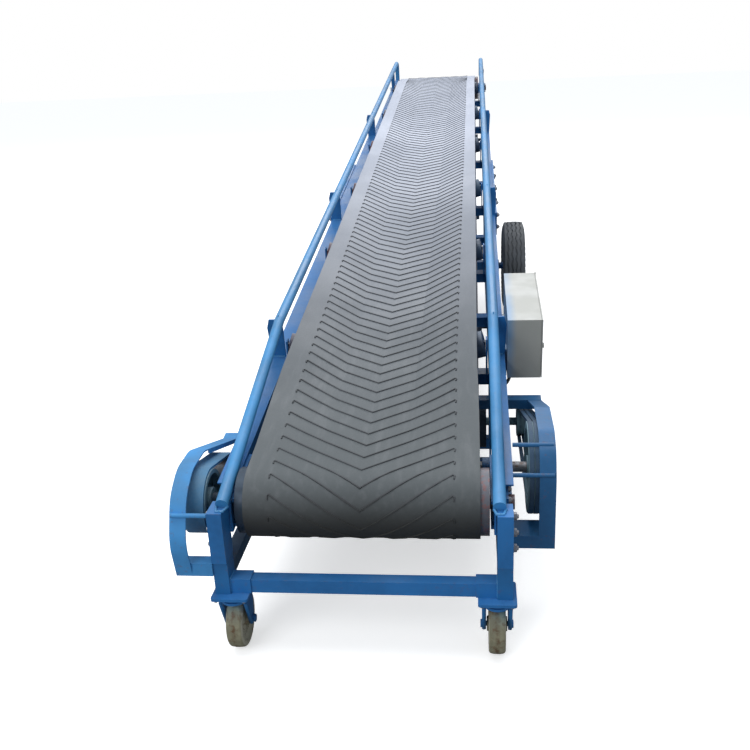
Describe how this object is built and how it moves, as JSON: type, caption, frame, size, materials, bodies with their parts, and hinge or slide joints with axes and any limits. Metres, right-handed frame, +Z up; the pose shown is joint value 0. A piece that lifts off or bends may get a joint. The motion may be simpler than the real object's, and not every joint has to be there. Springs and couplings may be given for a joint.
{
  "type": "portable belt conveyor",
  "caption": "Wheeled inclined belt conveyor: troughed chevron belt on a blue channel frame with side rails, belt drive, control box, road wheels and tail casters.",
  "frame": {"origin": "middle of the footprint, on the floor", "axes": "+Y along the conveyor from the tail to the raised head, +X across it to the control box side, +Z up"},
  "size_m": [1.18, 6.2726, 1.3889],
  "materials": {
    "frame_blue": "satin",
    "rail_blue": "satin",
    "belt_rubber": "matte",
    "drive_rubber": "matte",
    "tyre_rubber": "matte",
    "drum_steel": "brushed",
    "shaft_steel": "brushed",
    "roller_paint": "satin",
    "pulley_paint": "matte",
    "bearing_iron": "matte",
    "motor_iron": "matte",
    "box_paint": "satin",
    "caster_nylon": "matte",
    "cable_rubber": "matte"
  },
  "bodies": {
    "frame": {"axle_beam": "frame_blue", "base_runners": "frame_blue", "belt": "belt_rubber", "belt_ribs": "belt_rubber", "carrying_rollers": "roller_paint", "caster_plates": "frame_blue", "control_box": "box_paint", "counter_bearings": "bearing_iron", "countershaft": "shaft_steel", "cross_ties": "frame_blue", "drum_pulley": "pulley_paint", "flat_drive_belt": "drive_rubber", "guard_left": "rail_blue", "guard_right": "rail_blue", "head_bearings": "bearing_iron", "head_drum": "drum_steel", "idler_stands": "frame_blue", "large_pulley": "pulley_paint", "motor": "motor_iron", "motor_cable": "cable_rubber", "motor_mount": "frame_blue", "motor_pulley": "pulley_paint", "rail_brackets": "frame_blue", "rail_left": "rail_blue", "rail_right": "rail_blue", "return_hangers": "frame_blue", "return_rollers": "roller_paint", "side_channel_left": "frame_blue", "side_channel_right": "frame_blue", "tail_bearings": "bearing_iron", "tail_crossbeam": "frame_blue", "tail_drum": "drum_steel", "tail_legs": "frame_blue", "tail_posts": "frame_blue", "trestles": "frame_blue", "v_belts": "drive_rubber"},
    "caster_swivel_left": {"caster_fork_left": "frame_blue"},
    "caster_swivel_right": {"caster_fork_right": "frame_blue"},
    "caster_roll_left": {"caster_wheel_left": "caster_nylon"},
    "caster_roll_right": {"caster_wheel_right": "caster_nylon"},
    "wheel_left": {"tyre_left": "tyre_rubber", "rim_left": "frame_blue"},
    "wheel_right": {"tyre_right": "tyre_rubber", "rim_right": "frame_blue"},
    "door": {"box_door": "box_paint"}
  },
  "joints": [
    {"name": "caster_left_swivel", "type": "hinge", "parent": "frame", "child": "caster_swivel_left", "pos_m": [-0.352, -3.08129, 0.18], "axis": [0, 0, 1], "continuous": true},
    {"name": "caster_left_roll", "type": "hinge", "parent": "caster_swivel_left", "child": "caster_roll_left", "pos_m": [-0.352, -3.04929, 0.079], "axis": [1, 0, 0], "continuous": true},
    {"name": "caster_right_swivel", "type": "hinge", "parent": "frame", "child": "caster_swivel_right", "pos_m": [0.352, -3.08129, 0.18], "axis": [0, 0, 1], "continuous": true},
    {"name": "caster_right_roll", "type": "hinge", "parent": "caster_swivel_right", "child": "caster_roll_right", "pos_m": [0.352, -3.04929, 0.079], "axis": [1, 0, 0], "continuous": true},
    {"name": "wheel_left_spin", "type": "hinge", "parent": "frame", "child": "wheel_left", "pos_m": [-0.525, 0.24771, 0.26], "axis": [1, 0, 0], "continuous": true},
    {"name": "wheel_right_spin", "type": "hinge", "parent": "frame", "child": "wheel_right", "pos_m": [0.525, 0.24771, 0.26], "axis": [1, 0, 0], "continuous": true},
    {"name": "control_box_door", "type": "hinge", "parent": "frame", "child": "door", "pos_m": [0.518, -1.83571, 0.6348], "axis": [0, -0.1288, 0.9917], "range_deg": [0, 110]}
  ]
}
